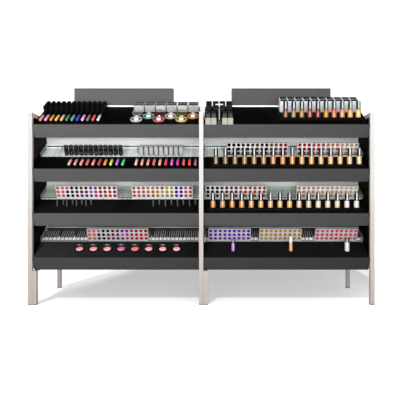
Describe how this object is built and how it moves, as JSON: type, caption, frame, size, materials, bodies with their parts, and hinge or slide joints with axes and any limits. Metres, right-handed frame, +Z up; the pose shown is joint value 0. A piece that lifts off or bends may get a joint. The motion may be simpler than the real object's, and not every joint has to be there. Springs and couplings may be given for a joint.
{
  "type": "cosmetics display rack",
  "caption": "Free-standing double-bay store rack with sloping black decks, grey fascias, clear stock trays, header boards and small cosmetics on show.",
  "frame": {"origin": "centre of the footprint, on the floor", "axes": "+X along the stand to the customer's right, +Y from the stocked front to the back, +Z up"},
  "size_m": [2, 0.6, 1.3033],
  "materials": {
    "frame_paint": "satin powder coat",
    "black_steel": "gloss black powder coat",
    "fascia_grey": "satin grey",
    "panel_grey": "satin light grey",
    "trim_white": "gloss white",
    "header_grey": "matte board",
    "zinc": "zinc plated",
    "glide_plastic": "moulded",
    "cap_plastic": "moulded",
    "acrylic": "clear polished",
    "riser_black": "polished",
    "tube_black": "gloss",
    "tester_colours": "gloss, a colour for each",
    "box_silver": "metallised",
    "compact_rings": "gloss, a colour for each",
    "refill_black": "gloss",
    "flacon_glass": "clear with cream liquid, black cap",
    "stand_clear": "clear, white bar",
    "carton_white": "coated board",
    "bottle_colours": "gloss with black cap, a colour for each",
    "lipstick_colours": "clear block with coloured ends",
    "brush_grey": "satin",
    "powder_pink": "black case with pressed powder",
    "lid_black": "gloss black with a mirror",
    "tube_colours": "satin"
  },
  "bodies": {
    "frame": {"posts_front": "frame_paint", "posts_rear": "frame_paint", "deck_legs": "frame_paint", "post_caps": "cap_plastic", "foot_glides": "glide_plastic", "rails_top": "frame_paint", "rails_bottom": "frame_paint", "side_panels": "black_steel", "centre_panels": "black_steel", "spine_uprights": "frame_paint", "spine_panels_front": "panel_grey", "spine_panels_rear": "panel_grey", "panel_trims": "trim_white", "spine_cap": "trim_white", "header_sockets": "zinc", "decks_front": "black_steel", "decks_rear": "black_steel", "fascias_front": "fascia_grey", "fascias_rear": "fascia_grey", "brackets_front": "black_steel", "brackets_rear": "black_steel", "bracket_screws": "zinc", "tester_risers": "riser_black", "trays_rear": "acrylic"},
    "header_left": {"header_left": "header_grey"},
    "header_right": {"header_right": "header_grey"},
    "tray_left_2": {"tray_left_2": "acrylic", "tubes_2": "tube_black"},
    "tray_right_2": {"tray_right_2": "acrylic", "lipsticks_right_2": "lipstick_colours"},
    "tray_left_3": {"tray_left_3": "acrylic", "lipsticks_left_3": "lipstick_colours"},
    "tray_right_3": {"tray_right_3": "acrylic", "lipsticks_right_3": "lipstick_colours"},
    "tray_left_4": {"tray_left_4": "acrylic", "lipsticks_left_4": "lipstick_colours"},
    "tray_right_4": {"tray_right_4": "acrylic", "lipsticks_right_4": "lipstick_colours"},
    "tubes_1": {"tubes_1": "tube_black"},
    "testers_1": {"testers_1": "tester_colours"},
    "boxes_1": {"boxes_1": "box_silver"},
    "compacts_1": {"compacts_1": "compact_rings"},
    "lids_1_near": {"lids_1_near": "compact_rings"},
    "lids_1_far": {"lids_1_far": "compact_rings"},
    "refills_1": {"refills_1": "refill_black"},
    "flacons_1": {"flacons_1": "flacon_glass"},
    "card_stand_1": {"card_stand_1": "stand_clear"},
    "cartons_1": {"cartons_1": "carton_white"},
    "bottles_1": {"bottles_1": "bottle_colours"},
    "testers_2": {"testers_2": "tester_colours"},
    "bottles_2": {"bottles_2": "bottle_colours"},
    "brushes_3": {"brushes_3": "brush_grey"},
    "bottles_3": {"bottles_3": "bottle_colours"},
    "compacts_4": {"compacts_4": "powder_pink"},
    "lids_4": {"lids_4": "lid_black"},
    "tubes_4": {"tubes_4": "tube_colours"}
  },
  "joints": [
    {"name": "header_left_lift", "type": "slide", "parent": "frame", "child": "header_left", "axis": [0, 0, 1], "range_m": [0, 0.07]},
    {"name": "tray_left_2_lift", "type": "slide", "parent": "frame", "child": "tray_left_2", "axis": [0, -0.4848, 0.8746], "range_m": [0, 0.05]},
    {"name": "tray_left_3_lift", "type": "slide", "parent": "frame", "child": "tray_left_3", "axis": [0, -0.4848, 0.8746], "range_m": [0, 0.05]},
    {"name": "tray_left_4_lift", "type": "slide", "parent": "frame", "child": "tray_left_4", "axis": [0, -0.4848, 0.8746], "range_m": [0, 0.05]},
    {"name": "header_right_lift", "type": "slide", "parent": "frame", "child": "header_right", "axis": [0, 0, 1], "range_m": [0, 0.07]},
    {"name": "tray_right_2_lift", "type": "slide", "parent": "frame", "child": "tray_right_2", "axis": [0, -0.4848, 0.8746], "range_m": [0, 0.05]},
    {"name": "tray_right_3_lift", "type": "slide", "parent": "frame", "child": "tray_right_3", "axis": [0, -0.4848, 0.8746], "range_m": [0, 0.05]},
    {"name": "tray_right_4_lift", "type": "slide", "parent": "frame", "child": "tray_right_4", "axis": [0, -0.4848, 0.8746], "range_m": [0, 0.05]},
    {"name": "tubes_1_lift", "type": "slide", "parent": "frame", "child": "tubes_1", "axis": [0, -0.4848, 0.8746], "range_m": [0, 0.05]},
    {"name": "testers_1_lift", "type": "slide", "parent": "frame", "child": "testers_1", "axis": [0, -0.4848, 0.8746], "range_m": [0, 0.05]},
    {"name": "boxes_1_lift", "type": "slide", "parent": "frame", "child": "boxes_1", "axis": [0, -0.4848, 0.8746], "range_m": [0, 0.05]},
    {"name": "compacts_1_lift", "type": "slide", "parent": "frame", "child": "compacts_1", "axis": [0, -0.4848, 0.8746], "range_m": [0, 0.05]},
    {"name": "refills_1_lift", "type": "slide", "parent": "frame", "child": "refills_1", "axis": [0, -0.4848, 0.8746], "range_m": [0, 0.05]},
    {"name": "cartons_1_lift", "type": "slide", "parent": "frame", "child": "cartons_1", "axis": [0, -0.4848, 0.8746], "range_m": [0, 0.05]},
    {"name": "testers_2_lift", "type": "slide", "parent": "frame", "child": "testers_2", "axis": [0, -0.4848, 0.8746], "range_m": [0, 0.05]},
    {"name": "brushes_3_lift", "type": "slide", "parent": "frame", "child": "brushes_3", "axis": [0, -0.4848, 0.8746], "range_m": [0, 0.05]},
    {"name": "compacts_4_lift", "type": "slide", "parent": "frame", "child": "compacts_4", "axis": [0, -0.4848, 0.8746], "range_m": [0, 0.05]},
    {"name": "flacons_1_lift", "type": "slide", "parent": "frame", "child": "flacons_1", "axis": [0, 0, 1], "range_m": [0, 0.034]},
    {"name": "card_stand_1_lift", "type": "slide", "parent": "frame", "child": "card_stand_1", "axis": [0, 0, 1], "range_m": [0, 0.05]},
    {"name": "bottles_1_lift", "type": "slide", "parent": "frame", "child": "bottles_1", "axis": [0, 0, 1], "range_m": [0, 0.05]},
    {"name": "bottles_2_lift", "type": "slide", "parent": "frame", "child": "bottles_2", "axis": [0, 0, 1], "range_m": [0, 0.05]},
    {"name": "bottles_3_lift", "type": "slide", "parent": "frame", "child": "bottles_3", "axis": [0, 0, 1], "range_m": [0, 0.05]},
    {"name": "tubes_4_lift", "type": "slide", "parent": "frame", "child": "tubes_4", "axis": [0, 0, 1], "range_m": [0, 0.05]},
    {"name": "lids_1_near_hinge", "type": "hinge", "parent": "compacts_1", "child": "lids_1_near", "pos_m": [0, -0.21442, 1.10225], "axis": [1, 0, 0], "range_deg": [0, 165]},
    {"name": "lids_1_far_hinge", "type": "hinge", "parent": "compacts_1", "child": "lids_1_far", "pos_m": [0, -0.17244, 1.12552], "axis": [1, 0, 0], "range_deg": [0, 155]},
    {"name": "lids_4_hinge", "type": "hinge", "parent": "compacts_4", "child": "lids_4", "pos_m": [0, -0.2047, 0.33435], "axis": [1, 0, 0], "range_deg": [-85, 40]}
  ]
}
